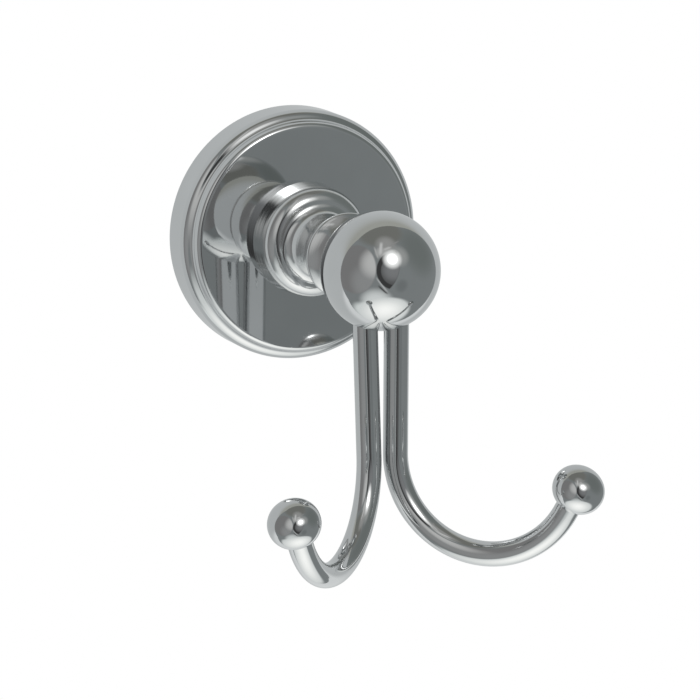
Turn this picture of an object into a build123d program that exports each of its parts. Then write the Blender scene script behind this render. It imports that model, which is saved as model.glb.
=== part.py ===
"""Chrome double robe hook: wall flange, turned post, large ball and two bent hooks with end knobs.

Millimetres. The wall is the plane Y = 0 and the hook stands out along -Y. +Z is up and X is across.
The origin is the middle of the flange's back. Left and right are mirror images about X = 0.
"""

import os
from math import asin, atan2, cos, degrees, radians, sin, sqrt, tan

from build123d import *

# Wall flange: outer size, then the ogee rim from the band inward, with angles from the flange's axis
FLANGE_RADIUS = 32.0
FACE_DEPTH = 13.0
SHOULDER_RADIUS = 2.65
SLOPE_ANGLE = 60.5
SLOPE_LENGTH = 0.45
COVE_RADIUS = 1.35
RISER_ANGLE = 10.0
RISER_LENGTH = 0.85
RIM_EDGE_RADIUS = 1.45
FLANGE_WALL = 8.0
FLANGE_PLATE = 3.8
BACK_EDGE_CHAMFER = 0.3

# The face falls back a little from the post to the rim, by this angle
FACE_FALL = 0.75

# Large ball: it sits on the end of the post's outside
BALL_RADIUS = 14.75

# Post: base, ogee, neck, flare, ring and the hollow that runs into the ball, from the flange outward
BASE_INSIDE_BALL = 0.29
POST_TAPER = 4.3
POST_BASE_LENGTH = 5.3
OVOLO_RADIUS = 3.9
OGEE_ANGLE = 80.0
OGEE_FLAT = 0.4
OGEE_COVE_RADIUS = 3.2
NECK_ENTRY_ANGLE = 22.0
NECK_RADIUS_OF_BEND = 16.6
FLARE_RADIUS = 10.5
FLARE_ANGLE = 49.7
RING_RADIUS = 0.8
RING_FRONT_ANGLE = 55.0
CUP_COVE_RADIUS = 10.2
CUP_END_ANGLE = 10.0
SPIGOT_RADIUS = 4.0
SPIGOT_LENGTH = 6.0
SPIGOT_CHAMFER = 0.4

# Hooks: one rod and its path, level with the ball's middle, mirrored for the other side
ROD_RADIUS = 3.09
ROD_HALF_SPACING = 4.12
ROD_SPACING_LEVEL = 16.0
ROD_TOP_LEVEL = 3.5
ROD_LEAN = 1.08
BEND_START_LEVEL = 45.9
BEND_RADIUS = 23.4
BEND_ANGLE = 151.1
HOOK_PLANE_ANGLE = 45.8
KNOB_CENTRE_AFTER_BEND = 7.1

# Knobs: flattened along the rod
KNOB_RADIUS = 6.5
KNOB_HALF_HEIGHT = 5.85
KNOB_SIDE_RADIUS = 5.5
KNOB_FLOOR_BELOW_CENTRE = 1.0

# Hidden bracket and fastenings
BRACKET_CLEARANCE = 0.4
BRACKET_THICKNESS = 6.5
BRACKET_POCKET_RADIUS = 8.0
BRACKET_POCKET_DEPTH = 2.5
WALL_HOLE_RADIUS = 2.5
WALL_HOLE_SPACING = 30.0
SET_SCREW_RADIUS = 2.0
SET_SCREW_LENGTH = 8.0
SET_SCREW_DEPTH = 3.4
SET_SCREW_TIP_RADIUS = 1.5
SET_SCREW_HEX_FLATS = 2.0
SET_SCREW_HEX_DEPTH = 2.5
DIMPLE_DEPTH = 1.2
POST_SCREW_RADIUS = 3.0
POST_SCREW_LENGTH = 16.0
POST_SCREW_HEAD_RADIUS = 5.25
POST_SCREW_HEAD_HEIGHT = 3.3
POST_SCREW_HEX_FLATS = 4.0
POST_SCREW_HEX_DEPTH = 2.0
POST_HOLE_EXTRA_DEPTH = 1.5

# Fits
JOINT_GAP = 0.04
THREAD_GAP = 0.04
SCREW_HOLE_CLEARANCE = 0.3

# Derived sizes: the post's base is as wide as the ball, but for a hair
POST_BASE_RADIUS = BALL_RADIUS - BASE_INSIDE_BALL
CAVITY_RADIUS = FLANGE_RADIUS - FLANGE_WALL
CAVITY_DEPTH = FACE_DEPTH - FLANGE_PLATE
BRACKET_RADIUS = CAVITY_RADIUS - BRACKET_CLEARANCE
DIMPLE_FLOOR = BRACKET_RADIUS - DIMPLE_DEPTH
POST_SCREW_HOLE_DEPTH = POST_SCREW_LENGTH - FLANGE_PLATE + POST_HOLE_EXTRA_DEPTH

# Turning plane: local X is the radius and local Y the distance from the wall
TURNING = Plane(origin=(0, 0, 0), x_dir=(1, 0, 0), z_dir=(0, 0, -1))
TURNING_AXIS = Axis((0, 0, 0), (0, -1, 0))
UNDERSIDE = (0, 0, -1)


def onward(edge, length):
    """A straight line on from the end of an edge, in the same direction."""
    return Line(edge @ 1, (edge @ 1) + length * (edge % 1))


def facing_out(depth):
    """A plane parallel to the wall at this distance from it, facing away from the wall."""
    return Plane(origin=(0, -depth, 0), x_dir=(1, 0, 0), z_dir=(0, -1, 0))


def band_front():
    """How far the front of the flange's straight band stands from the wall."""
    slope, riser, fall = radians(SLOPE_ANGLE), radians(RISER_ANGLE), radians(FACE_FALL)
    inward = SHOULDER_RADIUS * (1 - cos(slope)) + SLOPE_LENGTH * sin(slope)
    inward += COVE_RADIUS * (cos(riser) - cos(slope)) + RISER_LENGTH * sin(riser)
    inward += RIM_EDGE_RADIUS * (cos(riser) - sin(fall))
    rise = SHOULDER_RADIUS * sin(slope) + SLOPE_LENGTH * cos(slope)
    rise += COVE_RADIUS * (sin(slope) - sin(riser)) + RISER_LENGTH * cos(riser)
    rise += RIM_EDGE_RADIUS * (cos(fall) - sin(riser))
    face_width = FLANGE_RADIUS - inward - POST_BASE_RADIUS
    return FACE_DEPTH - face_width * tan(fall) - rise


def make_wall_flange():
    """Turned flange with an ogee rim, a cavity behind for the bracket and a threaded hole underneath."""
    with BuildPart() as flange:
        with BuildSketch(TURNING):
            with BuildLine():
                back = Line((CAVITY_RADIUS, 0), (FLANGE_RADIUS - BACK_EDGE_CHAMFER, 0))
                chamfer_edge = Line(back @ 1, (FLANGE_RADIUS, BACK_EDGE_CHAMFER))
                band = Line(chamfer_edge @ 1, (FLANGE_RADIUS, band_front()))
                shoulder = JernArc(band @ 1, band % 1, SHOULDER_RADIUS, SLOPE_ANGLE)
                slope = onward(shoulder, SLOPE_LENGTH)
                cove = JernArc(slope @ 1, slope % 1, COVE_RADIUS, RISER_ANGLE - SLOPE_ANGLE)
                riser = onward(cove, RISER_LENGTH)
                edge = JernArc(riser @ 1, riser % 1, RIM_EDGE_RADIUS, 90 - FACE_FALL - RISER_ANGLE)
                face = Line(edge @ 1, (POST_BASE_RADIUS, FACE_DEPTH))
                hole = POST_SCREW_RADIUS + SCREW_HOLE_CLEARANCE
                seat = Line(face @ 1, (hole, FACE_DEPTH))
                bore = Line(seat @ 1, (hole, CAVITY_DEPTH))
                ceiling = Line(bore @ 1, (CAVITY_RADIUS, CAVITY_DEPTH))
                Line(ceiling @ 1, back @ 0)
            make_face()
        revolve(axis=TURNING_AXIS)
        with BuildSketch(Plane(origin=(0, -SET_SCREW_DEPTH, 0), x_dir=(1, 0, 0), z_dir=UNDERSIDE)):
            Circle(SET_SCREW_RADIUS + THREAD_GAP)
        extrude(amount=FLANGE_RADIUS, mode=Mode.SUBTRACT)
    return flange.part


def post_outside():
    """The post's outside from its foot to the ball: a run of tangent lines and arcs in the turning plane."""
    foot = Vector(POST_BASE_RADIUS, FACE_DEPTH)
    taper = Vector(-sin(radians(POST_TAPER)), cos(radians(POST_TAPER)))
    base = Line(foot, foot + POST_BASE_LENGTH * taper)
    ovolo = JernArc(base @ 1, base % 1, OVOLO_RADIUS, OGEE_ANGLE - POST_TAPER)
    flat = onward(ovolo, OGEE_FLAT)
    cove = JernArc(flat @ 1, flat % 1, OGEE_COVE_RADIUS, NECK_ENTRY_ANGLE - OGEE_ANGLE)
    neck = JernArc(cove @ 1, cove % 1, NECK_RADIUS_OF_BEND, -NECK_ENTRY_ANGLE)
    flare = JernArc(neck @ 1, neck % 1, FLARE_RADIUS, -FLARE_ANGLE)
    ring = JernArc(flare @ 1, flare % 1, RING_RADIUS, FLARE_ANGLE + RING_FRONT_ANGLE)
    cup = JernArc(ring @ 1, ring % 1, CUP_COVE_RADIUS, CUP_END_ANGLE - RING_FRONT_ANGLE)
    return [base, ovolo, flat, cove, neck, flare, ring, cup]


def ball_seat():
    """The radius of the ball's flat seat and its distance from the wall: the end of the post's outside."""
    end = post_outside()[-1] @ 1
    return end.X, end.Y


def ball_centre_depth():
    """How far the ball's middle stands from the wall, for its seat to be as wide as the post's end."""
    seat_radius, seat_depth = ball_seat()
    return seat_depth + sqrt(BALL_RADIUS**2 - seat_radius**2)


def make_post():
    """Turned post: the outside in one run of tangent arcs, a spigot for the ball and a hole for its screw."""
    seat_depth = ball_seat()[1]
    spigot_end = seat_depth + SPIGOT_LENGTH
    with BuildPart() as post:
        with BuildSketch(TURNING):
            with BuildLine():
                outside = post_outside()
                seat = Line(outside[-1] @ 1, (SPIGOT_RADIUS, seat_depth))
                spigot = Line(seat @ 1, (SPIGOT_RADIUS, spigot_end - SPIGOT_CHAMFER))
                nose = Line(spigot @ 1, (SPIGOT_RADIUS - SPIGOT_CHAMFER, spigot_end))
                end = Line(nose @ 1, (0, spigot_end))
                middle = Line(end @ 1, (0, FACE_DEPTH))
                Line(middle @ 1, outside[0] @ 0)
            make_face()
        revolve(axis=TURNING_AXIS)
        with BuildSketch(facing_out(FACE_DEPTH)):
            Circle(POST_SCREW_RADIUS + THREAD_GAP)
        extrude(amount=POST_SCREW_HOLE_DEPTH, mode=Mode.SUBTRACT)
    return post.part


def hook_plane():
    """The plane the right hook is bent in: local Y runs up the rod and local X towards the knob."""
    lean = radians(ROD_LEAN)
    up = Vector(sin(lean), 0, cos(lean))
    turn = radians(HOOK_PLANE_ANGLE)
    forward = Vector(sin(turn), -cos(turn), 0)
    across = (forward - up * forward.dot(up)).normalized()
    top_x = ROD_HALF_SPACING + (ROD_SPACING_LEVEL - ROD_TOP_LEVEL) * tan(lean)
    top = (top_x, -ball_centre_depth(), -ROD_TOP_LEVEL)
    return Plane(origin=top, x_dir=across, z_dir=across.cross(up))


def hook_path(end_after_bend):
    """The right rod's centreline, from its top in the ball to a point this far past the bend."""
    shank_length = (BEND_START_LEVEL - ROD_TOP_LEVEL) / cos(radians(ROD_LEAN))
    with BuildLine(hook_plane()) as path:
        shank = Line((0, 0), (0, -shank_length))
        bend = JernArc(shank @ 1, (0, -1), BEND_RADIUS, BEND_ANGLE)
        onward(bend, end_after_bend)
    return path.line


def knob_frame():
    """The right knob's own plane: origin at its middle, Z along the rod."""
    path = hook_path(KNOB_CENTRE_AFTER_BEND)
    return Plane(origin=path @ 1, z_dir=path % 1)


def make_rod(radius, end_after_bend):
    """A round rod along the right hook's centreline."""
    path = hook_path(end_after_bend)
    with BuildPart() as rod:
        with BuildSketch(Plane(origin=path @ 0, z_dir=path % 0)):
            Circle(radius)
        sweep(path=path)
    return rod.part


def make_right_hook():
    """The right rod, from its socket in the ball to the floor of its socket in the knob."""
    return make_rod(ROD_RADIUS, KNOB_CENTRE_AFTER_BEND - KNOB_FLOOR_BELOW_CENTRE)


def make_right_knob():
    """Flattened end ball with a socket for the rod: an oval of tangent arcs, turned in one piece."""
    side_centre = KNOB_RADIUS - KNOB_SIDE_RADIUS
    flattening = KNOB_HALF_HEIGHT - KNOB_SIDE_RADIUS
    end_radius = (side_centre**2 + KNOB_HALF_HEIGHT**2 - KNOB_SIDE_RADIUS**2) / (2 * flattening)
    end_centre = end_radius - KNOB_HALF_HEIGHT
    end_angle = degrees(atan2(side_centre, end_centre))
    socket = ROD_RADIUS + JOINT_GAP
    mouth_angle = degrees(asin(socket / end_radius))
    mouth_drop = end_radius * cos(radians(mouth_angle))
    with BuildPart() as knob:
        with BuildSketch(Plane.XZ):
            with BuildLine():
                floor = Line((0, -KNOB_FLOOR_BELOW_CENTRE), (socket, -KNOB_FLOOR_BELOW_CENTRE))
                wall = Line(floor @ 1, (socket, end_centre - mouth_drop))
                lower = JernArc(wall @ 1, (mouth_drop, socket), end_radius, end_angle - mouth_angle)
                side = JernArc(lower @ 1, lower % 1, KNOB_SIDE_RADIUS, 180 - 2 * end_angle)
                upper = JernArc(side @ 1, side % 1, end_radius, end_angle)
                Line(upper @ 1, floor @ 0)
            make_face()
        revolve(axis=Axis.Z)
    return knob_frame().location * knob.part


def make_hub_ball():
    """Large ball with a flat seat and socket for the post behind, and two sockets for the rods beneath."""
    seat_radius, seat_depth = ball_seat()
    centre_depth = ball_centre_depth()
    rod_frame = hook_plane()
    with BuildPart() as ball:
        with BuildSketch(TURNING):
            with BuildLine():
                seat = Line((0, seat_depth), (seat_radius, seat_depth))
                front = (0, centre_depth + BALL_RADIUS)
                outside = ThreePointArc(seat @ 1, (BALL_RADIUS, centre_depth), front)
                Line(outside @ 1, seat @ 0)
            make_face()
        revolve(axis=TURNING_AXIS)
        with BuildSketch(facing_out(seat_depth)):
            Circle(SPIGOT_RADIUS + JOINT_GAP)
        extrude(amount=SPIGOT_LENGTH, mode=Mode.SUBTRACT)
        with BuildSketch(Plane(origin=rod_frame.origin, z_dir=rod_frame.y_dir)):
            Circle(ROD_RADIUS + JOINT_GAP)
        right = extrude(amount=-2 * BALL_RADIUS, mode=Mode.PRIVATE)
        add(right, mode=Mode.SUBTRACT)
        add(mirror(right, about=Plane.YZ, mode=Mode.PRIVATE), mode=Mode.SUBTRACT)
    return ball.part


def make_wall_bracket():
    """Round bracket on the wall, inside the flange: two screw holes, a pocket for the post screw's head."""
    with BuildPart() as bracket:
        with BuildSketch(facing_out(0)):
            Circle(BRACKET_RADIUS)
            with GridLocations(WALL_HOLE_SPACING, 0, 2, 1):
                Circle(WALL_HOLE_RADIUS, mode=Mode.SUBTRACT)
        extrude(amount=BRACKET_THICKNESS)
        with BuildSketch(facing_out(BRACKET_THICKNESS)):
            Circle(BRACKET_POCKET_RADIUS)
        extrude(amount=-BRACKET_POCKET_DEPTH, mode=Mode.SUBTRACT)
        dimple = Plane(origin=(0, -SET_SCREW_DEPTH, -DIMPLE_FLOOR), x_dir=(1, 0, 0), z_dir=UNDERSIDE)
        with BuildSketch(dimple):
            Circle(SET_SCREW_RADIUS + SCREW_HOLE_CLEARANCE)
        extrude(amount=2 * DIMPLE_DEPTH, mode=Mode.SUBTRACT)
    return bracket.part


def make_set_screw():
    """Grub screw from the underside of the band to the bracket, with a hexagon socket."""
    frame = Plane(origin=(0, -SET_SCREW_DEPTH, -DIMPLE_FLOOR), x_dir=(1, 0, 0), z_dir=UNDERSIDE)
    with BuildPart() as screw:
        Cylinder(SET_SCREW_RADIUS, SET_SCREW_LENGTH, align=(Align.CENTER, Align.CENTER, Align.MIN))
        tip = screw.edges().sort_by(Axis.Z)[0]
        chamfer(tip, SET_SCREW_RADIUS - SET_SCREW_TIP_RADIUS)
        with BuildSketch(Plane.XY.offset(SET_SCREW_LENGTH)):
            RegularPolygon(SET_SCREW_HEX_FLATS / 2, 6, major_radius=False)
        extrude(amount=-SET_SCREW_HEX_DEPTH, mode=Mode.SUBTRACT)
    return frame.location * screw.part


def make_post_screw():
    """Machine screw from the cavity through the flange into the post, with a hexagon socket."""
    frame = facing_out(CAVITY_DEPTH)
    with BuildPart() as screw:
        with BuildSketch(Plane.XY):
            Circle(POST_SCREW_HEAD_RADIUS)
        extrude(amount=-POST_SCREW_HEAD_HEIGHT)
        with BuildSketch(Plane.XY):
            Circle(POST_SCREW_RADIUS)
        extrude(amount=POST_SCREW_LENGTH)
        with BuildSketch(Plane.XY.offset(-POST_SCREW_HEAD_HEIGHT)):
            RegularPolygon(POST_SCREW_HEX_FLATS / 2, 6, major_radius=False)
        extrude(amount=POST_SCREW_HEX_DEPTH, mode=Mode.SUBTRACT)
    return frame.location * screw.part


def main():
    """Build every piece and write one STEP file each."""
    right_hook = make_right_hook()
    right_knob = make_right_knob()
    pieces = {
        "wall_flange": make_wall_flange(),
        "post": make_post(),
        "hub_ball": make_hub_ball(),
        "right_hook": right_hook,
        "left_hook": mirror(right_hook, about=Plane.YZ),
        "right_knob": right_knob,
        "left_knob": mirror(right_knob, about=Plane.YZ),
        "wall_bracket": make_wall_bracket(),
        "set_screw": make_set_screw(),
        "post_screw": make_post_screw(),
    }
    os.makedirs("parts", exist_ok=True)
    for name, piece in pieces.items():
        export_step(piece, f"parts/{name}.step")


if __name__ == "__main__":
    main()
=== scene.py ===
"""Looks of the chrome double robe hook: smooth polished skins over the turned and bent pieces,
satin steel for the hidden fixing, a soft light tent round it and the camera of the photograph.

Sizes are in metres and angles in degrees, in the row frame: the wall is Y = 0, the hook stands out
along -Y and +Z is up.
"""

import math

import bpy
import numpy as np
from mathutils import Matrix, Vector


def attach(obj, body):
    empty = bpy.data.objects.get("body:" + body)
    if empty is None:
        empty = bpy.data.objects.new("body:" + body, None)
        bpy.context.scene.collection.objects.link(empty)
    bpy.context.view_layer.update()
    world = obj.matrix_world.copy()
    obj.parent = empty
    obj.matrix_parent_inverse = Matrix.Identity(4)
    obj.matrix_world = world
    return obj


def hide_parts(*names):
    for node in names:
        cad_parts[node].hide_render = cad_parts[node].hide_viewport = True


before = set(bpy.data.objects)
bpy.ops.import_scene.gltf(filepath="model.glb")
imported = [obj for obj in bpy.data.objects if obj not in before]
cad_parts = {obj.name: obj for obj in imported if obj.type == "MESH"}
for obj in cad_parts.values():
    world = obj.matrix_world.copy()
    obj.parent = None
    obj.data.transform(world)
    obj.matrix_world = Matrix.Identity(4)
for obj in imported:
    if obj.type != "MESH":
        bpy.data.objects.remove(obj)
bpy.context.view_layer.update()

MM = 0.001

# Flange sizes
FLANGE_RADIUS = 32.0 * MM
FACE_DEPTH = 13.0 * MM
FACE_FALL = 0.75
SHOULDER_RADIUS = 2.65 * MM
SLOPE_ANGLE = 60.5
SLOPE_LENGTH = 0.45 * MM
COVE_RADIUS = 1.35 * MM
RISER_ANGLE = 10.0
RISER_LENGTH = 0.85 * MM
RIM_EDGE_RADIUS = 1.45 * MM
CAVITY_RADIUS = 24.0 * MM
CAVITY_DEPTH = 9.2 * MM
BACK_EDGE_CHAMFER = 0.3 * MM
POST_SCREW_HOLE_RADIUS = 3.3 * MM
SET_SCREW_HOLE_RADIUS = 2.04 * MM
SET_SCREW_DEPTH = 3.4 * MM

# Post sizes
POST_BASE_RADIUS = 14.46 * MM
POST_TAPER = 4.3
POST_BASE_LENGTH = 5.3 * MM
OVOLO_RADIUS = 3.9 * MM
OGEE_ANGLE = 80.0
OGEE_FLAT = 0.4 * MM
OGEE_COVE_RADIUS = 3.2 * MM
NECK_ENTRY_ANGLE = 22.0
NECK_RADIUS_OF_BEND = 16.6 * MM
FLARE_RADIUS = 10.5 * MM
FLARE_ANGLE = 49.7
RING_RADIUS = 0.8 * MM
RING_FRONT_ANGLE = 55.0
CUP_COVE_RADIUS = 10.2 * MM
CUP_END_ANGLE = 10.0
SPIGOT_RADIUS = 4.0 * MM
SPIGOT_LENGTH = 6.0 * MM
SPIGOT_CHAMFER = 0.4 * MM
POST_HOLE_RADIUS = 3.04 * MM
POST_HOLE_DEPTH = 13.7 * MM

# Ball, rod and knob sizes
BALL_RADIUS = 14.75 * MM
JOINT_GAP = 0.04 * MM
ROD_RADIUS = 3.09 * MM
ROD_HALF_SPACING = 4.12 * MM
ROD_SPACING_LEVEL = 16.0 * MM
ROD_TOP_LEVEL = 3.5 * MM
ROD_LEAN = 1.08
BEND_START_LEVEL = 45.9 * MM
BEND_RADIUS = 23.4 * MM
BEND_ANGLE = 151.1
HOOK_PLANE_ANGLE = 45.8
KNOB_CENTRE_AFTER_BEND = 7.1 * MM
KNOB_RADIUS = 6.5 * MM
KNOB_HALF_HEIGHT = 5.85 * MM
KNOB_SIDE_RADIUS = 5.5 * MM
KNOB_FLOOR_BELOW_CENTRE = 1.0 * MM

# Fineness of the skins
ARC_STEP = 2.5
FEWEST_ARC_STEPS = 2
TURNED_SEGMENTS = 256
ROD_SEGMENTS = 96
KNOB_SEGMENTS = 128
BEND_STEPS = 110
HOLE_SEGMENTS = 48
HOLE_PATCH_STEPS = 5
NO_LENGTH = 1e-9

# Chrome plate: its darkest and lightest colour, and the lowest and highest roughness of each piece
CHROME_DARK = (0.66, 0.67, 0.675)
CHROME_LIGHT = (0.69, 0.70, 0.705)
FLANGE_ROUGHNESS = (0.025, 0.045)
POST_ROUGHNESS = (0.09, 0.13)
BALL_ROUGHNESS = (0.03, 0.05)
ROD_ROUGHNESS = (0.04, 0.07)
KNOB_ROUGHNESS = (0.04, 0.06)

# Noise in the chrome's colour, roughness and polish: features per metre and detail
CHROME_TINT_NOISE = (55.0, 3.0)
CHROME_HAZE_NOISE = (120.0, 4.0)
POLISH_NOISE = (160.0, 1.0)
POLISH_STRENGTH = 0.02
POLISH_HEIGHT = 0.02 * MM

# Turning lines on the post
LINES_PER_METRE = 1100.0
LINE_DETAIL = 2.0
LINE_STRENGTH = 1.0
LINE_HEIGHT = 0.03 * MM

# Satin steel of the hidden fixing: darkest and lightest colour, roughness and grain
BRACKET_DARK = (0.5, 0.5, 0.49)
BRACKET_LIGHT = (0.6, 0.6, 0.59)
BRACKET_ROUGHNESS = 0.38
SCREW_DARK = (0.48, 0.48, 0.48)
SCREW_LIGHT = (0.56, 0.56, 0.56)
SCREW_ROUGHNESS = 0.3
STEEL_TINT_NOISE = (300.0, 4.0)
GRAIN_NOISE = (1500.0, 5.0)
GRAIN_ROUGHNESS = 0.07
GRAIN_STRENGTH = 0.15
GRAIN_HEIGHT = 0.05 * MM

# The middle part of a noise's range, over which a value or a colour goes from one end to the other
VALUE_SPREAD = (0.3, 0.7)
COLOUR_SPREAD = (0.35, 0.65)

# Camera: seen from the front left and a little above
CAMERA_AZIMUTH = -23.32
CAMERA_ELEVATION = 12.47
CAMERA_ROLL = -0.69
CAMERA_DISTANCE = 1.1744
CAMERA_TARGET = Vector((0.01187, -0.01253, -0.03023))
CAMERA_LENS = 237.0
CAMERA_SENSOR = 36.0
CAMERA_NEAREST = 0.01

# A turned piece's local Z is its axis: this turns it to stand out of the wall along -Y
OUT_OF_WALL = Matrix(((1, 0, 0, 0), (0, 0, -1, 0), (0, 1, 0, 0), (0, 0, 0, 1)))


def direction(azimuth, elevation):
    """A unit vector: azimuth 0 points out of the wall along -Y and 90 along +X, elevation is above level."""
    around = math.radians(azimuth)
    above = math.radians(elevation)
    level = math.cos(above)
    return Vector((level * math.sin(around), -level * math.cos(around), math.sin(above)))


class Outline:
    """A closed half section for turning, drawn with the solid on the left: points are (radius, height)."""

    def __init__(self, start):
        self.start = np.array(start, float)
        self.point = self.start
        self.heading = 0.0
        self.segments = []

    def _add(self, end, normal_start, normal_end):
        self.segments.append((self.point, normal_start, end, normal_end))
        self.point = end

    @staticmethod
    def _right(heading):
        return np.array((math.sin(heading), -math.cos(heading)))

    def to(self, point):
        """A straight edge to a point."""
        end = np.array(point, float)
        step = end - self.point
        self.heading = math.atan2(step[1], step[0])
        normal = self._right(self.heading)
        self._add(end, normal, normal)
        return self

    def onward(self, length):
        """A straight edge in the present direction."""
        along = np.array((math.cos(self.heading), math.sin(self.heading)))
        return self.to(self.point + length * along)

    def arc(self, radius, turn):
        """A tangent arc: turn is in degrees, positive to the left."""
        side = math.copysign(1.0, turn)
        centre = self.point - side * radius * self._right(self.heading)
        count = max(FEWEST_ARC_STEPS, math.ceil(abs(turn) / ARC_STEP))
        step = math.radians(turn) / count
        for _ in range(count):
            before = self._right(self.heading)
            self.heading += step
            after = self._right(self.heading)
            self._add(centre + side * radius * after, before, after)
        return self

    def close(self):
        """A straight edge back to the start."""
        return self.to(self.start)


def link(name, data):
    """A new object for a mesh, a lamp or a camera, in the scene."""
    piece = bpy.data.objects.new(name, data)
    bpy.context.scene.collection.objects.link(piece)
    return piece


def turned_mesh(name, outline, count, matrix, pierced=None):
    """The outline turned about its axis, with exact normals on every corner: pierced makes a side hole."""
    angles = 2 * math.pi * np.arange(count) / count
    ring = np.stack([np.cos(angles), np.sin(angles)], 1)
    verts = []
    rings = []
    for (radius, height), _, _, _ in outline.segments:
        if radius < NO_LENGTH:
            rings.append([len(verts)] * count)
            verts.append((0.0, 0.0, height))
        else:
            rings.append(list(range(len(verts), len(verts) + count)))
            verts.extend((radius * x, radius * y, height) for x, y in ring)
    rings.append(rings[0])
    faces = []
    normals = []
    for i, (start, normal_start, end, normal_end) in enumerate(outline.segments):
        if max(start[0], end[0]) < NO_LENGTH:
            continue
        low = rings[i]
        high = rings[i + 1]
        hole = pierced and pierced.goes_through(start, end)
        for j in range(count):
            k = (j + 1) % count
            if hole and pierced.covers(j, count):
                continue
            corners = [(low[j], j, normal_start), (low[k], k, normal_start)]
            corners += [(high[k], k, normal_end), (high[j], j, normal_end)]
            kept = [corner for n, corner in enumerate(corners) if corner[0] != corners[n - 1][0]]
            faces.append([vertex for vertex, _, _ in kept])
            for _, step, (outward, along) in kept:
                x, y = ring[step]
                normals.append((outward * x, outward * y, along))
    if pierced:
        pierced.fill(outline, rings, verts, faces, normals, count)
    mesh = bpy.data.meshes.new(name)
    mesh.from_pydata(verts, [], faces)
    mesh.transform(matrix)
    turn = np.array(matrix.to_3x3())
    finish_normals(mesh, np.array(normals) @ turn.T)
    return mesh


class SideHole:
    """A round hole through a turned wall, straight down: a patch round its mouth in both walls and a tube."""

    def __init__(self, radius, height, reach):
        self.radius = radius
        self.height = height
        self.reach = reach

    @staticmethod
    def bottom(count):
        """The step of the turning that points straight down."""
        return 3 * count // 4

    def goes_through(self, start, end):
        """Whether a straight upright wall of the outline is met by the hole."""
        upright = abs(start[0] - end[0]) < NO_LENGTH
        low, high = sorted((start[1], end[1]))
        return upright and start[0] > 2 * self.radius and low < self.height < high

    def covers(self, step, count):
        """Whether the face after a step of the turning lies in the patch."""
        return -self.reach <= step - self.bottom(count) < self.reach

    def fill(self, outline, rings, verts, faces, normals, count):
        """Adds a patch in each wall, between the hole's edge and the wall's own corners, and the tube."""
        bottom = self.bottom(count)
        steps = range(bottom - self.reach, bottom + self.reach + 1)
        mouths = []
        for i, (start, normal, end, _) in enumerate(outline.segments):
            if not self.goes_through(start, end):
                continue
            radius = start[0]
            facing = round(normal[0])
            mouths.append(self.mouth(radius, verts))
            border = [rings[row][j] for row in (i, i + 1) for j in steps]
            for triangle in self.patch(border, mouths[-1], verts):
                face = triangle[::facing]
                faces.append(face)
                for x, y, _ in (verts[v] for v in face):
                    normals.append((facing * x / radius, facing * y / radius, 0))
        outer, inner = mouths
        for i in range(HOLE_SEGMENTS):
            k = (i + 1) % HOLE_SEGMENTS
            face = [outer[i], outer[k], inner[k], inner[i]]
            faces.append(face)
            for x, _, z in (verts[v] for v in face):
                normals.append((-x / self.radius, 0, (self.height - z) / self.radius))

    def mouth(self, wall_radius, verts):
        """The hole's edge on a round wall, in order of bearing."""
        first = len(verts)
        for i in range(HOLE_SEGMENTS):
            bearing = 2 * math.pi * (i + 0.5) / HOLE_SEGMENTS - math.pi
            x = self.radius * math.cos(bearing)
            y = -math.sqrt(wall_radius**2 - x**2)
            verts.append((x, y, self.height + self.radius * math.sin(bearing)))
        return list(range(first, len(verts)))

    def patch(self, border, mouth, verts):
        """Triangles between the patch's border and the hole's edge, in order of bearing."""

        def bearing(v):
            """The bearing of a corner from the hole's middle."""
            return math.atan2(verts[v][2] - self.height, verts[v][0])

        border = sorted(border, key=bearing)
        halfway = [(bearing(a) + bearing(b)) / 2 for a, b in zip(border, border[1:])] + [math.pi]
        coming = [bearing(v) for v in mouth[1:]] + [math.inf]
        triangles = []
        i = 0
        j = 0
        while i < len(border) or j < len(mouth):
            outer = border[i % len(border)]
            inner = mouth[j % len(mouth)]
            if j == len(mouth) or (i < len(border) and halfway[i] <= coming[j]):
                i += 1
                triangles.append([outer, border[i % len(border)], inner])
            else:
                j += 1
                triangles.append([outer, mouth[j % len(mouth)], inner])
        return triangles


def finish_normals(mesh, normals):
    """Smooth shading with the given normal on every face corner."""
    mesh.polygons.foreach_set("use_smooth", [True] * len(mesh.polygons))
    mesh.update()
    mesh.normals_split_custom_set(normals.tolist())


def band_front():
    """How far the front of the flange's straight band stands from the wall."""
    rim = Outline((FLANGE_RADIUS, 0))
    rim.heading = math.pi / 2
    rim_run(rim)
    rise = (rim.point[0] - POST_BASE_RADIUS) * math.tan(math.radians(FACE_FALL))
    return FACE_DEPTH - rise - rim.point[1]


def rim_run(line):
    """The flange's ogee rim, from the front of the band to the face."""
    line.arc(SHOULDER_RADIUS, SLOPE_ANGLE).onward(SLOPE_LENGTH)
    line.arc(COVE_RADIUS, RISER_ANGLE - SLOPE_ANGLE).onward(RISER_LENGTH)
    line.arc(RIM_EDGE_RADIUS, 90 - FACE_FALL - RISER_ANGLE)


def flange_outline():
    """Half section of the flange: a straight band, an ogee rim, a nearly flat face and the cavity behind."""
    line = Outline((CAVITY_RADIUS, 0))
    line.to((FLANGE_RADIUS - BACK_EDGE_CHAMFER, 0)).to((FLANGE_RADIUS, BACK_EDGE_CHAMFER))
    line.to((FLANGE_RADIUS, band_front()))
    rim_run(line)
    line.to((POST_BASE_RADIUS, FACE_DEPTH)).to((POST_SCREW_HOLE_RADIUS, FACE_DEPTH))
    line.to((POST_SCREW_HOLE_RADIUS, CAVITY_DEPTH)).to((CAVITY_RADIUS, CAVITY_DEPTH))
    return line.close()


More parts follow.
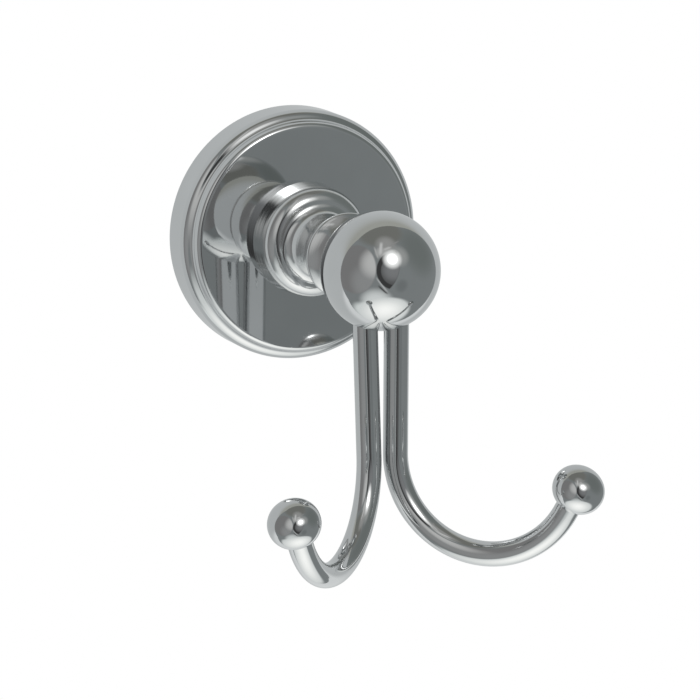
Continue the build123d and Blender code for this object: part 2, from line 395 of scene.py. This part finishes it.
def post_run(line):
    """The post's outside, from its foot to the ball: base, ogee, neck, flare, ring and a hollow."""
    line.to((POST_BASE_RADIUS, FACE_DEPTH))
    line.heading = math.radians(90 + POST_TAPER)
    line.onward(POST_BASE_LENGTH)
    line.arc(OVOLO_RADIUS, OGEE_ANGLE - POST_TAPER).onward(OGEE_FLAT)
    line.arc(OGEE_COVE_RADIUS, NECK_ENTRY_ANGLE - OGEE_ANGLE)
    line.arc(NECK_RADIUS_OF_BEND, -NECK_ENTRY_ANGLE)
    line.arc(FLARE_RADIUS, -FLARE_ANGLE)
    line.arc(RING_RADIUS, FLARE_ANGLE + RING_FRONT_ANGLE)
    line.arc(CUP_COVE_RADIUS, CUP_END_ANGLE - RING_FRONT_ANGLE)
    return line.point


# The ball sits on the end of the post's outside
SEAT_RADIUS, SEAT_DEPTH = post_run(Outline((0, FACE_DEPTH)))
BALL_CENTRE_DEPTH = SEAT_DEPTH + math.sqrt(BALL_RADIUS**2 - SEAT_RADIUS**2)


def post_outline():
    """Half section of the post, with its screw hole and the spigot for the ball."""
    line = Outline((0, FACE_DEPTH + POST_HOLE_DEPTH))
    line.to((POST_HOLE_RADIUS, FACE_DEPTH + POST_HOLE_DEPTH)).to((POST_HOLE_RADIUS, FACE_DEPTH))
    post_run(line)
    spigot_end = SEAT_DEPTH + SPIGOT_LENGTH
    line.to((SPIGOT_RADIUS, SEAT_DEPTH)).to((SPIGOT_RADIUS, spigot_end - SPIGOT_CHAMFER))
    line.to((SPIGOT_RADIUS - SPIGOT_CHAMFER, spigot_end)).to((0, spigot_end))
    return line.close()


def ball_outline():
    """Half section of the large ball, with its flat seat and the socket for the post."""
    seat_angle = math.degrees(math.asin(SEAT_RADIUS / BALL_RADIUS))
    socket = SPIGOT_RADIUS + JOINT_GAP
    line = Outline((0, SEAT_DEPTH + SPIGOT_LENGTH))
    line.to((socket, SEAT_DEPTH + SPIGOT_LENGTH)).to((socket, SEAT_DEPTH)).to((SEAT_RADIUS, SEAT_DEPTH))
    line.heading = math.radians(seat_angle)
    line.arc(BALL_RADIUS, 180 - seat_angle)
    line.point = np.array((0.0, BALL_CENTRE_DEPTH + BALL_RADIUS))
    return line.close()


def knob_outline():
    """Half section of a knob: an oval of tangent arcs with a socket, its middle at height 0."""
    side_centre = KNOB_RADIUS - KNOB_SIDE_RADIUS
    flattening = KNOB_HALF_HEIGHT - KNOB_SIDE_RADIUS
    end_radius = (side_centre**2 + KNOB_HALF_HEIGHT**2 - KNOB_SIDE_RADIUS**2) / (2 * flattening)
    end_centre = end_radius - KNOB_HALF_HEIGHT
    end_angle = math.degrees(math.atan2(side_centre, end_centre))
    socket = ROD_RADIUS + JOINT_GAP
    mouth_angle = math.degrees(math.asin(socket / end_radius))
    mouth_drop = end_radius * math.cos(math.radians(mouth_angle))
    line = Outline((0, -KNOB_FLOOR_BELOW_CENTRE))
    line.to((socket, -KNOB_FLOOR_BELOW_CENTRE)).to((socket, end_centre - mouth_drop))
    line.heading = math.radians(mouth_angle)
    line.arc(end_radius, end_angle - mouth_angle)
    line.arc(KNOB_SIDE_RADIUS, 180 - 2 * end_angle)
    line.arc(end_radius, end_angle)
    line.point = np.array((0.0, KNOB_HALF_HEIGHT))
    return line.close()


def hook_frame(side):
    """The rod's top, the direction towards the knob and the direction up the rod: side is 1 or -1."""
    lean = math.radians(ROD_LEAN)
    turn = math.radians(HOOK_PLANE_ANGLE)
    up = Vector((side * math.sin(lean), 0, math.cos(lean)))
    forward = Vector((side * math.sin(turn), -math.cos(turn), 0))
    across = (forward - up * forward.dot(up)).normalized()
    top_x = ROD_HALF_SPACING + (ROD_SPACING_LEVEL - ROD_TOP_LEVEL) * math.tan(lean)
    return Vector((side * top_x, -BALL_CENTRE_DEPTH, -ROD_TOP_LEVEL)), across, up


def hook_path(side):
    """Points and directions along a rod's middle, from the ball to the knob's socket floor."""
    origin, across, up = hook_frame(side)
    shank = (BEND_START_LEVEL - ROD_TOP_LEVEL) / math.cos(math.radians(ROD_LEAN))
    centre = origin - up * shank + across * BEND_RADIUS
    path = [(origin, -up)]
    for i in range(BEND_STEPS + 1):
        angle = math.radians(BEND_ANGLE * i / BEND_STEPS)
        point = centre - (across * math.cos(angle) + up * math.sin(angle)) * BEND_RADIUS
        path.append((point, across * math.sin(angle) - up * math.cos(angle)))
    last, along = path[-1]
    path.append((last + along * (KNOB_CENTRE_AFTER_BEND - KNOB_FLOOR_BELOW_CENTRE), along))
    return path


def rod_mesh(name, side):
    """A round rod along the hook's middle line, with exact normals and flat ends."""
    path = hook_path(side)
    _, across, up = hook_frame(side)
    flat = across.cross(up)
    verts = []
    radial = []
    for point, along in path:
        beside = along.cross(flat)
        for i in range(ROD_SEGMENTS):
            angle = 2 * math.pi * i / ROD_SEGMENTS
            out = beside * math.cos(angle) + flat * math.sin(angle)
            radial.append(out)
            verts.append(point + out * ROD_RADIUS)
    faces = []
    normals = []
    for ring in range(len(path) - 1):
        low = ring * ROD_SEGMENTS
        high = low + ROD_SEGMENTS
        for i in range(ROD_SEGMENTS):
            k = (i + 1) % ROD_SEGMENTS
            face = [high + i, high + k, low + k, low + i]
            faces.append(face)
            normals.extend(tuple(radial[v]) for v in face)
    count = len(path) * ROD_SEGMENTS
    faces.append(list(range(ROD_SEGMENTS)))
    normals.extend([tuple(-path[0][1])] * ROD_SEGMENTS)
    faces.append(list(range(count - 1, count - ROD_SEGMENTS - 1, -1)))
    normals.extend([tuple(path[-1][1])] * ROD_SEGMENTS)
    mesh = bpy.data.meshes.new(name)
    mesh.from_pydata(verts, [], faces)
    finish_normals(mesh, np.array(normals))
    return mesh


def knob_matrix(side):
    """A knob's place: its middle beyond the bend, its axis along the rod."""
    last, along = hook_path(side)[-1]
    centre = last + along * KNOB_FLOOR_BELOW_CENTRE
    turn = along.to_track_quat("Z", "Y").to_matrix().to_4x4()
    return Matrix.Translation(centre) @ turn


def skin(name, mesh, node, material):
    """A visible piece that stands for one CAD node and rides with the hook."""
    piece = link(name, mesh)
    mesh.materials.append(material)
    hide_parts(node)
    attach(piece, "root")


def new_material(name):
    """A material with its node tree and its Principled shader."""
    material = bpy.data.materials.new(name)
    material.use_nodes = True
    tree = material.node_tree
    return material, tree, tree.nodes["Principled BSDF"]


def noise(tree, scale, detail):
    """A noise texture in object space: scale is in features per metre."""
    place = tree.nodes.new("ShaderNodeTexCoord")
    texture = tree.nodes.new("ShaderNodeTexNoise")
    texture.inputs["Scale"].default_value = scale
    texture.inputs["Detail"].default_value = detail
    tree.links.new(place.outputs["Object"], texture.inputs["Vector"])
    return texture.outputs["Fac"]


def between(tree, factor, low, high):
    """Maps a noise factor to a range."""
    node = tree.nodes.new("ShaderNodeMapRange")
    node.inputs["From Min"].default_value = VALUE_SPREAD[0]
    node.inputs["From Max"].default_value = VALUE_SPREAD[1]
    node.inputs["To Min"].default_value = low
    node.inputs["To Max"].default_value = high
    tree.links.new(factor, node.inputs["Value"])
    return node.outputs["Result"]


def tint(tree, factor, low, high):
    """A colour that varies with a noise factor."""
    ramp = tree.nodes.new("ShaderNodeValToRGB")
    for element, position, colour in zip(ramp.color_ramp.elements, COLOUR_SPREAD, (low, high)):
        element.position = position
        element.color = (*colour, 1)
    tree.links.new(factor, ramp.inputs["Fac"])
    return ramp.outputs["Color"]


def bump(tree, shader, height, strength, distance):
    """A bump from a height."""
    node = tree.nodes.new("ShaderNodeBump")
    node.inputs["Strength"].default_value = strength
    node.inputs["Distance"].default_value = distance
    tree.links.new(height, node.inputs["Height"])
    tree.links.new(node.outputs["Normal"], shader.inputs["Normal"])


def turning_lines(tree):
    """Fine uneven rings about the post's axis, as a lathe leaves them under the plate."""
    place = tree.nodes.new("ShaderNodeTexCoord")
    split = tree.nodes.new("ShaderNodeSeparateXYZ")
    tree.links.new(place.outputs["Object"], split.inputs["Vector"])
    across = tree.nodes.new("ShaderNodeCombineXYZ")
    tree.links.new(split.outputs["X"], across.inputs["X"])
    tree.links.new(split.outputs["Z"], across.inputs["Z"])
    radius = tree.nodes.new("ShaderNodeVectorMath")
    radius.operation = "LENGTH"
    tree.links.new(across.outputs["Vector"], radius.inputs[0])
    rings = tree.nodes.new("ShaderNodeCombineXYZ")
    tree.links.new(radius.outputs["Value"], rings.inputs["X"])
    tree.links.new(split.outputs["Y"], rings.inputs["Y"])
    texture = tree.nodes.new("ShaderNodeTexNoise")
    texture.inputs["Scale"].default_value = LINES_PER_METRE
    texture.inputs["Detail"].default_value = LINE_DETAIL
    tree.links.new(rings.outputs["Vector"], texture.inputs["Vector"])
    return texture.outputs["Fac"]


def chrome_material(name, roughness, turned=False):
    """Polished chrome plate, rougher in patches, with a faint unevenness left by polishing or by turning."""
    material, tree, shader = new_material(name)
    shader.inputs["Metallic"].default_value = 1.0
    colour = tint(tree, noise(tree, *CHROME_TINT_NOISE), CHROME_DARK, CHROME_LIGHT)
    tree.links.new(colour, shader.inputs["Base Color"])
    haze = between(tree, noise(tree, *CHROME_HAZE_NOISE), *roughness)
    tree.links.new(haze, shader.inputs["Roughness"])
    if turned:
        bump(tree, shader, turning_lines(tree), LINE_STRENGTH, LINE_HEIGHT)
    else:
        bump(tree, shader, noise(tree, *POLISH_NOISE), POLISH_STRENGTH, POLISH_HEIGHT)
    return material


def steel_material(name, low, high, roughness):
    """Satin plated steel with a fine grain."""
    material, tree, shader = new_material(name)
    shader.inputs["Metallic"].default_value = 1.0
    colour = tint(tree, noise(tree, *STEEL_TINT_NOISE), low, high)
    tree.links.new(colour, shader.inputs["Base Color"])
    grain = noise(tree, *GRAIN_NOISE)
    uneven = between(tree, grain, roughness - GRAIN_ROUGHNESS, roughness + GRAIN_ROUGHNESS)
    tree.links.new(uneven, shader.inputs["Roughness"])
    bump(tree, shader, grain, GRAIN_STRENGTH, GRAIN_HEIGHT)
    return material


def assign(node, material):
    """Puts a material on a CAD node, in place of its own."""
    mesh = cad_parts[node].data
    mesh.materials.clear()
    mesh.materials.append(material)


def make_pieces():
    """Chrome skins over the visible nodes and steel on the hidden ones."""
    hole = SideHole(SET_SCREW_HOLE_RADIUS, SET_SCREW_DEPTH, HOLE_PATCH_STEPS)
    flange = turned_mesh("wall_flange_skin", flange_outline(), TURNED_SEGMENTS, OUT_OF_WALL, hole)
    flange_chrome = chrome_material("flange chrome", FLANGE_ROUGHNESS)
    skin("wall_flange_skin", flange, "wall_flange", flange_chrome)
    post = turned_mesh("post_skin", post_outline(), TURNED_SEGMENTS, OUT_OF_WALL)
    skin("post_skin", post, "post", chrome_material("post chrome", POST_ROUGHNESS, True))
    ball = turned_mesh("hub_ball_skin", ball_outline(), TURNED_SEGMENTS, OUT_OF_WALL)
    skin("hub_ball_skin", ball, "hub_ball", chrome_material("ball chrome", BALL_ROUGHNESS))
    rods = chrome_material("rod chrome", ROD_ROUGHNESS)
    knobs = chrome_material("knob chrome", KNOB_ROUGHNESS)
    for word, side in (("right", 1), ("left", -1)):
        rod = rod_mesh(f"{word}_hook_skin", side)
        skin(f"{word}_hook_skin", rod, f"{word}_hook", rods)
        knob = turned_mesh(f"{word}_knob_skin", knob_outline(), KNOB_SEGMENTS, knob_matrix(side))
        skin(f"{word}_knob_skin", knob, f"{word}_knob", knobs)
    bracket = steel_material("bracket steel", BRACKET_DARK, BRACKET_LIGHT, BRACKET_ROUGHNESS)
    assign("wall_bracket", bracket)
    screws = steel_material("screw steel", SCREW_DARK, SCREW_LIGHT, SCREW_ROUGHNESS)
    assign("set_screw", screws)
    assign("post_screw", screws)


def make_camera():
    """The photograph's camera: a long lens from the front left, a little above."""
    back = direction(CAMERA_AZIMUTH, CAMERA_ELEVATION)
    level = direction(CAMERA_AZIMUTH + 90, 0)
    upright = back.cross(level)
    roll = math.radians(CAMERA_ROLL)
    right = level * math.cos(roll) + upright * math.sin(roll)
    up = upright * math.cos(roll) - level * math.sin(roll)
    data = bpy.data.cameras.new("camera")
    data.lens = CAMERA_LENS
    data.sensor_width = CAMERA_SENSOR
    data.clip_start = CAMERA_NEAREST
    camera = link("camera", data)
    place = CAMERA_TARGET + back * CAMERA_DISTANCE
    camera.matrix_world = Matrix((
        (right.x, up.x, back.x, place.x),
        (right.y, up.y, back.y, place.y),
        (right.z, up.z, back.z, place.z),
        (0, 0, 0, 1),
    ))
    bpy.context.scene.camera = camera


# The light tent as round patches: a word for each, azimuth, elevation, half width, softness and colour
TENT_WALL = (0.25, 0.268, 0.27)
TENT = [
    ("right wall", 72, 28, 25, 22, (0.185, 0.203, 0.197)),
    ("ceiling", 0, 90, 31, 7, (0.205, 0.208, 0.192)),
    ("ceiling glow", -4, 61, 2, 20, (0.37, 0.37, 0.36)),
    ("low right shade", 18, -19, 0, 15, (0.20, 0.216, 0.218)),
    ("glow above the opening", -22, 46, 0, 13, (0.50, 0.50, 0.49)),
    ("lamp haze", 20, 34, 3, 20, (0.40, 0.41, 0.40)),
    ("floor haze", -34, -50, 0, 32, (0.82, 0.85, 0.84)),
    ("left floor haze", -85, -66, 0, 22, (0.95, 1.0, 0.98)),
]

# The tent's left wall: one large round patch with its own shading
LEFT_WALL = (-75, 10, 42, 2)
LEFT_WALL_COLOUR = (0.238, 0.236, 0.235)
LEFT_WALL_GLOWS = [
    ("low", -48, -12, 0, 42, (0.33, 0.335, 0.335)),
    ("high", -34, 26, 0, 36, (0.62, 0.62, 0.61)),
]

# Folds in the tent and the turned edge of its opening: two ends (azimuth, elevation), width and colour,
# fading out between two shares of a fold's half length
FOLD_FULL = 0.5
FOLD_GONE = 1.5
FOLDS = [
    ((-26, -19), (-11, -32), 3.0, (0.075, 0.075, 0.075)),
    ((-29, -5), (-12, -27), 2.8, (0.55, 0.56, 0.56)),
    ((-23, 44), (-19, 64), 4.5, (0.70, 0.70, 0.69)),
    ((-40, 54), (-29, 36), 2.5, (0.52, 0.52, 0.51)),
    ((-12, 51), (8, 54), 4.0, (0.60, 0.60, 0.59)),
    ((8, 56), (42, 58), 2.0, (0.33, 0.33, 0.325)),
]

# The tent's opening: the space shared by three round patches, drawn as rings that shrink from the edge
LEFT_SIDE = (5, 10, 35.4)
RIGHT_SIDE = (-50, 20, 61.5)
LOWER_SIDE = (45, 30, 77.5)
OPENING_SOFTNESS = 1.2
OPENING = [
    ("dark border", 0.0, 0.0, (0.055, 0.055, 0.055)),
    ("inside", 8.5, 6.0, (0.125, 0.127, 0.128)),
]
OPENING_GLOW = (2, 12, 0, 27)
OPENING_GLOW_COLOUR = (0.25, 0.255, 0.26)

# The soft light in the opening and the glow round it
LAMP_AZIMUTH = 3.0
LAMP_ELEVATION = 31.5
LAMP_HALF_ANGLE = 7.0
LAMP_DISTANCE = 4.0
LAMP_RADIANCE = 2.3
LAMP_GLOWS = [
    ("outer", 14.5, 6.5, (1.20, 1.20, 1.18)),
    ("inner", 8.0, 4.0, (2.3, 2.3, 2.27)),
]

# The grey board that the hook is fixed to, seen in the chrome but not by the camera
BOARD_BOTTOM_LEFT = -0.30
BOARD_BOTTOM_RIGHT = 0.26
BOARD_TOP_LEFT = -0.215
BOARD_TOP_RIGHT = 0.19
BOARD_TOP = 0.33
BOARD_BACK = 0.0006
BOARD_COLOUR = (0.565, 0.585, 0.588)
BOARD_TOP_COLOUR = (0.425, 0.43, 0.395)
BOARD_TOP_FADE = (0.045, 0.18)
# Painted light: the board's foot is brighter, as if lit from the white sheet below
BOARD_FOOT_FLOOR_LIGHT_COLOUR = (0.82, 0.84, 0.84)
BOARD_FOOT_FLOOR_LIGHT_FADE = (-0.095, -0.17)

# The white sheet below: a painted pool of light, brightest in the middle and greyer outward, with a soft edge
FLOOR_LEVEL = -0.25
FLOOR_CENTRE = (-0.015, -0.165)
FLOOR_RADIUS = 0.215
FLOOR_SOFT_EDGE = 0.05
# Painted light: the sheet glows brighter than white in its middle and greyer towards its edge
FLOOR_POOL_OF_LIGHT_COLOUR = (1.34, 1.34, 1.30)
FLOOR_EDGE_FALLOFF_COLOUR = (0.80, 0.83, 0.82)
ROUND_COUNT = 96


def patch_mask(tree, ray, azimuth, elevation, half_angle, softness):
    """A mask that is 1 inside a round patch of the surroundings and 0 outside."""
    inside = math.cos(math.radians(max(half_angle - softness, 0)))
    outside = math.cos(math.radians(half_angle + softness))
    return ramp_mask(tree, dot_with(tree, ray, direction(azimuth, elevation)), outside, inside)


def dot_with(tree, ray, vector):
    """The dot product of a ray with a fixed direction."""
    node = tree.nodes.new("ShaderNodeVectorMath")
    node.operation = "DOT_PRODUCT"
    tree.links.new(ray, node.inputs[0])
    node.inputs[1].default_value = vector
    return node.outputs["Value"]


def ramp_mask(tree, value, zero_at, one_at):
    """A smooth mask that runs from 0 to 1 between two values."""
    node = tree.nodes.new("ShaderNodeMapRange")
    node.interpolation_type = "SMOOTHSTEP"
    node.inputs["From Min"].default_value = zero_at
    node.inputs["From Max"].default_value = one_at
    tree.links.new(value, node.inputs["Value"])
    return node.outputs["Result"]


def both(tree, first, second):
    """The product of two masks."""
    node = tree.nodes.new("ShaderNodeMath")
    node.operation = "MULTIPLY"
    tree.links.new(first, node.inputs[0])
    tree.links.new(second, node.inputs[1])
    return node.outputs["Value"]


def fold_mask(tree, ray, start, end, width):
    """A narrow soft streak between two directions, along the great circle through them."""
    first = direction(*start)
    last = direction(*end)
    across = dot_with(tree, ray, first.cross(last).normalized())
    size = tree.nodes.new("ShaderNodeMath")
    size.operation = "ABSOLUTE"
    tree.links.new(across, size.inputs[0])
    band = ramp_mask(tree, size.outputs["Value"], math.sin(math.radians(width)), 0.0)
    reach = first.angle(last) / 2
    along = dot_with(tree, ray, (first + last).normalized())
    ends = ramp_mask(tree, along, math.cos(FOLD_GONE * reach), math.cos(FOLD_FULL * reach))
    return both(tree, band, ends)


def paint(tree, below, mask, colour):
    """A colour over another where the mask is 1."""
    node = tree.nodes.new("ShaderNodeMix")
    node.data_type = "RGBA"
    tree.links.new(mask, node.inputs["Factor"])
    tree.links.new(below, node.inputs["A"])
    node.inputs["B"].default_value = (*colour, 1)
    return node.outputs["Result"]


def plain_colour(tree, colour):
    """A colour as a socket, to paint over."""
    node = tree.nodes.new("ShaderNodeRGB")
    node.outputs["Color"].default_value = (*colour, 1)
    return node.outputs["Color"]


def opening_mask(tree, ray, shrink_left, shrink_lower):
    """The tent's opening, made smaller at its left and lower sides."""
    masks = []
    for side, shrink in ((LEFT_SIDE, shrink_left), (RIGHT_SIDE, 0.0), (LOWER_SIDE, shrink_lower)):
        azimuth, elevation, half_angle = side
        masks.append(patch_mask(tree, ray, azimuth, elevation, half_angle - shrink, OPENING_SOFTNESS))
    left, right, lower = masks
    return both(tree, both(tree, left, right), lower)


def tent_colour(tree, ray):
    """The light tent in every direction: walls, folds, the opening and the glow of the light in it."""
    colour = plain_colour(tree, TENT_WALL)
    for _, *place, shade in TENT:
        colour = paint(tree, colour, patch_mask(tree, ray, *place), shade)
    wall = patch_mask(tree, ray, *LEFT_WALL)
    colour = paint(tree, colour, wall, LEFT_WALL_COLOUR)
    for _, *place, shade in LEFT_WALL_GLOWS:
        glow = patch_mask(tree, ray, *place)
        colour = paint(tree, colour, both(tree, wall, glow), shade)
    for start, end, width, shade in FOLDS:
        colour = paint(tree, colour, fold_mask(tree, ray, start, end, width), shade)
    for _, shrink_left, shrink_lower, shade in OPENING:
        inside = opening_mask(tree, ray, shrink_left, shrink_lower)
        colour = paint(tree, colour, inside, shade)
    glow = patch_mask(tree, ray, *OPENING_GLOW)
    colour = paint(tree, colour, both(tree, inside, glow), OPENING_GLOW_COLOUR)
    for _, half_angle, softness, shade in LAMP_GLOWS:
        glow = patch_mask(tree, ray, LAMP_AZIMUTH, LAMP_ELEVATION, half_angle, softness)
        colour = paint(tree, colour, glow, shade)
    return colour


def make_world():
    """The light tent seen in the chrome, and plain white behind the hook for the camera."""
    world = bpy.data.worlds.new("light tent")
    world.use_nodes = True
    bpy.context.scene.world = world
    tree = world.node_tree
    tree.nodes.clear()
    ray = tree.nodes.new("ShaderNodeTexCoord").outputs["Generated"]
    tent = tree.nodes.new("ShaderNodeBackground")
    tree.links.new(tent_colour(tree, ray), tent.inputs["Color"])
    white = tree.nodes.new("ShaderNodeBackground")
    white.inputs["Color"].default_value = (1, 1, 1, 1)
    path = tree.nodes.new("ShaderNodeLightPath")
    choose = tree.nodes.new("ShaderNodeMixShader")
    tree.links.new(path.outputs["Is Camera Ray"], choose.inputs["Fac"])
    tree.links.new(tent.outputs["Background"], choose.inputs[1])
    tree.links.new(white.outputs["Background"], choose.inputs[2])
    output = tree.nodes.new("ShaderNodeOutputWorld")
    tree.links.new(choose.outputs["Shader"], output.inputs["Surface"])


def make_lamp():
    """One round soft light in front and above."""
    radius = LAMP_DISTANCE * math.tan(math.radians(LAMP_HALF_ANGLE))
    data = bpy.data.lights.new("soft light", "AREA")
    data.shape = "DISK"
    data.size = 2 * radius
    # An even disk's power is its radiance times pi times its area
    data.energy = LAMP_RADIANCE * math.pi * math.pi * radius**2
    lamp = link("soft light", data)
    aim = direction(LAMP_AZIMUTH, LAMP_ELEVATION)
    lamp.location = Vector((0, -BALL_CENTRE_DEPTH, 0)) + aim * LAMP_DISTANCE
    lamp.rotation_mode = "QUATERNION"
    lamp.rotation_quaternion = aim.to_track_quat("Z", "Y")
    lamp.visible_camera = False


def sheet_material(name, shade):
    """A sheet that glows with its colour, painted light in place of lamplight, which the chrome mirrors and
    the camera looks through: shade gives its colour and cover.
    """
    material = bpy.data.materials.new(name)
    material.use_nodes = True
    tree = material.node_tree
    tree.nodes.clear()
    place = tree.nodes.new("ShaderNodeTexCoord").outputs["Object"]
    colour, cover = shade(tree, place)
    glow = tree.nodes.new("ShaderNodeEmission")
    tree.links.new(colour, glow.inputs["Color"])
    clear = tree.nodes.new("ShaderNodeBsdfTransparent")
    path = tree.nodes.new("ShaderNodeLightPath")
    unseen = tree.nodes.new("ShaderNodeMath")
    unseen.operation = "SUBTRACT"
    unseen.inputs[0].default_value = 1.0
    tree.links.new(path.outputs["Is Camera Ray"], unseen.inputs[1])
    if cover is None:
        cover = unseen.outputs["Value"]
    else:
        cover = both(tree, cover, unseen.outputs["Value"])
    fade = tree.nodes.new("ShaderNodeMixShader")
    tree.links.new(cover, fade.inputs["Fac"])
    tree.links.new(clear.outputs["BSDF"], fade.inputs[1])
    tree.links.new(glow.outputs["Emission"], fade.inputs[2])
    output = tree.nodes.new("ShaderNodeOutputMaterial")
    tree.links.new(fade.outputs["Shader"], output.inputs["Surface"])
    return material


def floor_shade(tree, place):
    """A painted pool of light: brighter than white in the middle, greyer outward, with a soft round edge."""
    length = tree.nodes.new("ShaderNodeVectorMath")
    length.operation = "LENGTH"
    tree.links.new(place, length.inputs[0])
    outward = ramp_mask(tree, length.outputs["Value"], 0.0, FLOOR_RADIUS)
    cover = ramp_mask(tree, length.outputs["Value"], FLOOR_RADIUS, FLOOR_RADIUS - FLOOR_SOFT_EDGE)
    # The painted pool of light fades outward to the greyer edge colour
    colour = paint(tree, plain_colour(tree, FLOOR_POOL_OF_LIGHT_COLOUR), outward, FLOOR_EDGE_FALLOFF_COLOUR)
    return colour, cover


def board_shade(tree, place):
    """Light grey, darker and warmer at the top, and brighter at its foot with painted light thrown up from
    the white sheet below, with a full cover.
    """
    split = tree.nodes.new("ShaderNodeSeparateXYZ")
    tree.links.new(place, split.inputs["Vector"])
    top = ramp_mask(tree, split.outputs["Z"], *BOARD_TOP_FADE)
    # Painted light from the sheet below brightens the board towards its foot
    foot = ramp_mask(tree, split.outputs["Z"], *BOARD_FOOT_FLOOR_LIGHT_FADE)
    colour = paint(tree, plain_colour(tree, BOARD_COLOUR), top, BOARD_TOP_COLOUR)
    return paint(tree, colour, foot, BOARD_FOOT_FLOOR_LIGHT_COLOUR), None


def make_sheets():
    """The grey board behind the hook and the white sheet below it."""
    turn = 2 * math.pi / ROUND_COUNT
    angles = [i * turn for i in range(ROUND_COUNT)]
    ring = [(FLOOR_RADIUS * math.cos(angle), FLOOR_RADIUS * math.sin(angle), 0) for angle in angles]
    floor = bpy.data.meshes.new("floor")
    floor.from_pydata(ring, [], [list(range(ROUND_COUNT))])
    floor.materials.append(sheet_material("white sheet", floor_shade))
    piece = link("floor", floor)
    piece.location = (*FLOOR_CENTRE, FLOOR_LEVEL)
    corners = [(BOARD_BOTTOM_LEFT, FLOOR_LEVEL), (BOARD_BOTTOM_RIGHT, FLOOR_LEVEL)]
    corners += [(BOARD_TOP_RIGHT, BOARD_TOP), (BOARD_TOP_LEFT, BOARD_TOP)]
    board = bpy.data.meshes.new("board")
    board.from_pydata([(x, BOARD_BACK, z) for x, z in corners], [], [[0, 1, 2, 3]])
    board.materials.append(sheet_material("grey board", board_shade))
    link("board", board)


make_pieces()
make_world()
make_lamp()
make_sheets()
make_camera()
bpy.context.scene.view_settings.view_transform = "Standard"
